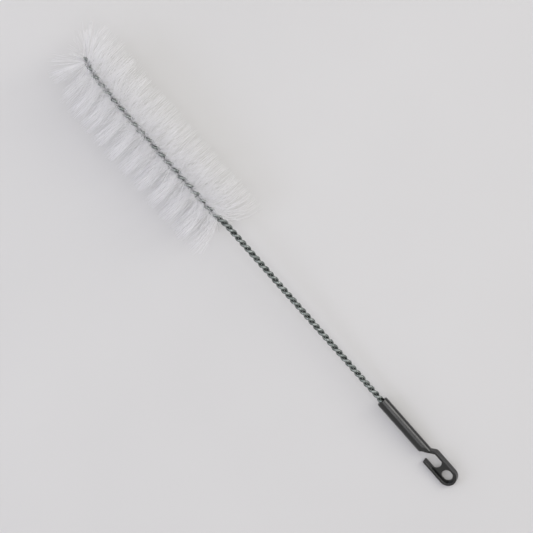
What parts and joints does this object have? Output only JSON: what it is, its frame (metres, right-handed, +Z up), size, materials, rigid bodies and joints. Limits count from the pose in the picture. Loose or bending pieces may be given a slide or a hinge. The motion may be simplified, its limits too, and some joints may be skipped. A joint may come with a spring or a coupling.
{
  "type": "bottle brush",
  "caption": "Bottle brush with nylon bristles in a twisted wire stem and a moulded grip that ends in an open hook.",
  "frame": {"origin": "on the surface it lies on, under the middle of its box", "axes": "+X along the brush from the bristle tip to the hook, +Y to the side that the neck steps to, +Z up"},
  "size_m": [0.3185, 0.0477, 0.0502],
  "materials": {
    "galvanised_wire": "dark galvanised steel wire, drawn and twisted",
    "black_moulding": "black polypropylene, injection moulded, semi-gloss",
    "nylon_bristle": "white nylon filament, translucent"
  },
  "bodies": {
    "root": {"twisted_wire": "galvanised_wire", "hook_handle": "black_moulding", "tip_fan": "nylon_bristle", "bristle_row_01": "nylon_bristle", "bristle_row_02": "nylon_bristle", "bristle_row_03": "nylon_bristle", "bristle_row_04": "nylon_bristle", "bristle_row_05": "nylon_bristle", "bristle_row_06": "nylon_bristle", "bristle_row_07": "nylon_bristle", "bristle_row_08": "nylon_bristle", "bristle_row_09": "nylon_bristle", "bristle_row_10": "nylon_bristle", "bristle_row_11": "nylon_bristle", "bristle_row_12": "nylon_bristle", "bristle_row_13": "nylon_bristle", "bristle_row_14": "nylon_bristle", "bristle_row_15": "nylon_bristle", "bristle_row_16": "nylon_bristle", "bristle_row_17": "nylon_bristle", "bristle_row_18": "nylon_bristle", "bristle_row_19": "nylon_bristle", "bristle_row_20": "nylon_bristle"}
  },
  "joints": []
}
